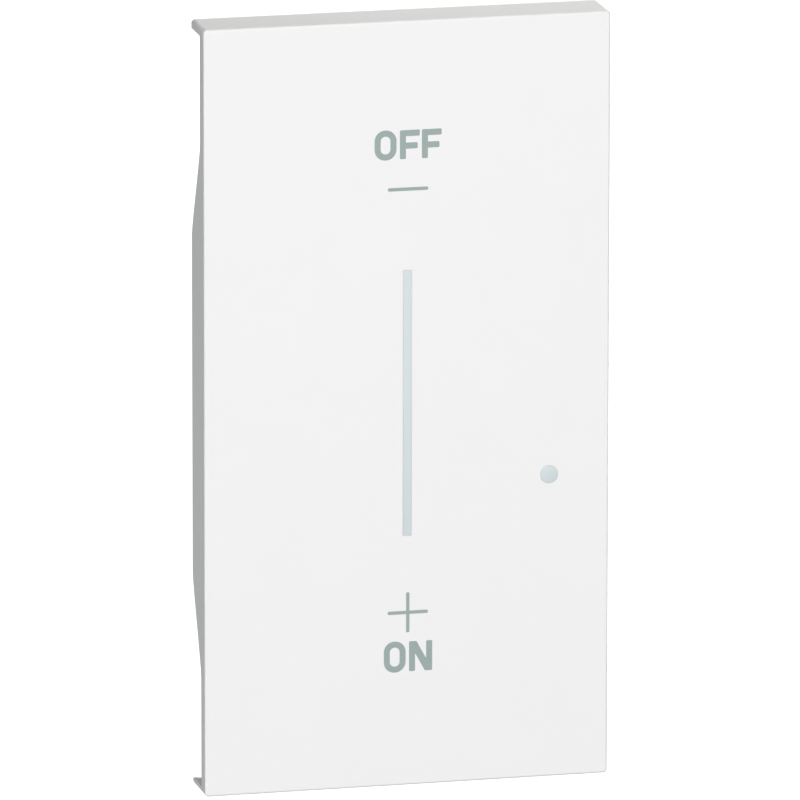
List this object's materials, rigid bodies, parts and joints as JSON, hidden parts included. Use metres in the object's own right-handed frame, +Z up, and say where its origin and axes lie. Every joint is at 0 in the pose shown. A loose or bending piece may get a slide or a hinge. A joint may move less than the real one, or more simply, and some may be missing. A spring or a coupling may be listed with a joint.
{
  "type": "dimmer switch insert",
  "caption": "Two-module flush dimmer insert: full-height white rocking cover with level bar and status light, push rods, key switches, circuit boards, terminals and rear housing.",
  "frame": {"origin": "centre of the seating plane, where the back of the mounting flange meets its supporting frame", "axes": "+Z up, +X to the right seen from the front, the front cover faces -Y and the rear housing points to +Y"},
  "size_m": [0.045, 0.028, 0.085],
  "materials": {
    "cover_plastic": "fine satin moulded",
    "legend_print": "grey-green pad print",
    "diffuser": "frosted translucent",
    "clear_acrylic": "polished clear",
    "frame_plastic": "fine satin moulded",
    "housing_plastic": "fine spark-eroded texture",
    "rod_plastic": "natural acetal",
    "steel": "ground bright",
    "plated_steel": "zinc plated",
    "spring_steel": "drawn wire",
    "circuit_board": "green solder mask",
    "switch_plastic": "satin",
    "button_plastic": "satin",
    "lamp": "phosphor resin",
    "chip_resin": "moulded epoxy",
    "aluminium": "rolled sheet",
    "pad_rubber": "silicone sheet",
    "ferrite": "sintered",
    "copper": "enamelled wire",
    "film_case": "moulded box",
    "can_sleeve": "shrink sleeve",
    "fuse_body": "glazed",
    "brass": "stamped strip"
  },
  "bodies": {
    "insert": {"mounting_frame": "frame_plastic", "rear_housing": "housing_plastic", "left_hinge_pin": "steel", "right_hinge_pin": "steel", "upper_return_spring": "spring_steel", "lower_return_spring": "spring_steel", "level_light_guide": "clear_acrylic", "status_light_guide": "clear_acrylic", "control_board": "circuit_board", "upper_key_switch": "switch_plastic", "lower_key_switch": "switch_plastic", "level_led_1": "lamp", "level_led_2": "lamp", "level_led_3": "lamp", "level_led_4": "lamp", "level_led_5": "lamp", "level_led_6": "lamp", "status_led": "lamp", "microcontroller": "chip_resin", "board_link_header": "switch_plastic", "power_board": "circuit_board", "left_power_transistor": "chip_resin", "right_power_transistor": "chip_resin", "thermal_pad": "pad_rubber", "heat_sink": "aluminium", "choke_core": "ferrite", "choke_winding": "copper", "film_capacitor": "film_case", "reservoir_capacitor": "can_sleeve", "thermal_fuse": "fuse_body", "bridge_rectifier": "chip_resin", "left_terminal_strip": "brass", "middle_terminal_strip": "brass", "right_terminal_strip": "brass"},
    "rocker": {"front_cover": "cover_plastic", "level_light_bar": "diffuser", "status_lens": "diffuser", "rocker_carrier": "frame_plastic"},
    "upper_rod": {"upper_push_rod": "rod_plastic"},
    "lower_rod": {"lower_push_rod": "rod_plastic"},
    "upper_button": {"upper_switch_button": "button_plastic"},
    "lower_button": {"lower_switch_button": "button_plastic"},
    "left_screw": {"left_terminal_screw": "plated_steel"},
    "middle_screw": {"middle_terminal_screw": "plated_steel"},
    "right_screw": {"right_terminal_screw": "plated_steel"},
    "left_cage": {"left_terminal_cage": "plated_steel"},
    "middle_cage": {"middle_terminal_cage": "plated_steel"},
    "right_cage": {"right_terminal_cage": "plated_steel"}
  },
  "joints": [
    {"name": "rocker_tilt", "type": "hinge", "parent": "insert", "child": "rocker", "pos_m": [0, -0.0042, 0], "axis": [-1, 0, 0], "range_deg": [-1.5, 1.5], "stiffness_Nm_per_rad": 2},
    {"name": "upper_rod_slide", "type": "slide", "parent": "insert", "child": "upper_rod", "axis": [0, 1, 0], "range_m": [-0.00049, 0.00049], "deforming": ["upper_return_spring"]},
    {"name": "lower_rod_slide", "type": "slide", "parent": "insert", "child": "lower_rod", "axis": [0, 1, 0], "range_m": [-0.00049, 0.00049], "deforming": ["lower_return_spring"]},
    {"name": "upper_button_press", "type": "slide", "parent": "insert", "child": "upper_button", "axis": [0, 1, 0], "range_m": [0, 0.00025], "stiffness_N_per_m": 800},
    {"name": "lower_button_press", "type": "slide", "parent": "insert", "child": "lower_button", "axis": [0, 1, 0], "range_m": [0, 0.00025], "stiffness_N_per_m": 800},
    {"name": "left_screw_turn", "type": "hinge", "parent": "insert", "child": "left_screw", "pos_m": [-0.0094, 0.0163, -0.0175], "axis": [0, -1, 0], "range_deg": [0, 2161]},
    {"name": "middle_screw_turn", "type": "hinge", "parent": "insert", "child": "middle_screw", "pos_m": [0, 0.0163, -0.0175], "axis": [0, -1, 0], "range_deg": [0, 2161]},
    {"name": "right_screw_turn", "type": "hinge", "parent": "insert", "child": "right_screw", "pos_m": [0.0094, 0.0163, -0.0175], "axis": [0, -1, 0], "range_deg": [0, 2161]},
    {"name": "left_cage_lift", "type": "slide", "parent": "insert", "child": "left_cage", "axis": [0, 1, 0], "range_m": [0, 0.003]},
    {"name": "middle_cage_lift", "type": "slide", "parent": "insert", "child": "middle_cage", "axis": [0, 1, 0], "range_m": [0, 0.003]},
    {"name": "right_cage_lift", "type": "slide", "parent": "insert", "child": "right_cage", "axis": [0, 1, 0], "range_m": [0, 0.003]}
  ],
  "couplings": [
    {"joint": "upper_rod_slide", "follows": "rocker_tilt", "m_per_rad": 0.0183},
    {"joint": "lower_rod_slide", "follows": "rocker_tilt", "m_per_rad": -0.0183},
    {"joint": "left_screw_turn", "follows": "left_cage_lift", "rad_per_m": 12566},
    {"joint": "middle_screw_turn", "follows": "middle_cage_lift", "rad_per_m": 12566},
    {"joint": "right_screw_turn", "follows": "right_cage_lift", "rad_per_m": 12566}
  ]
}
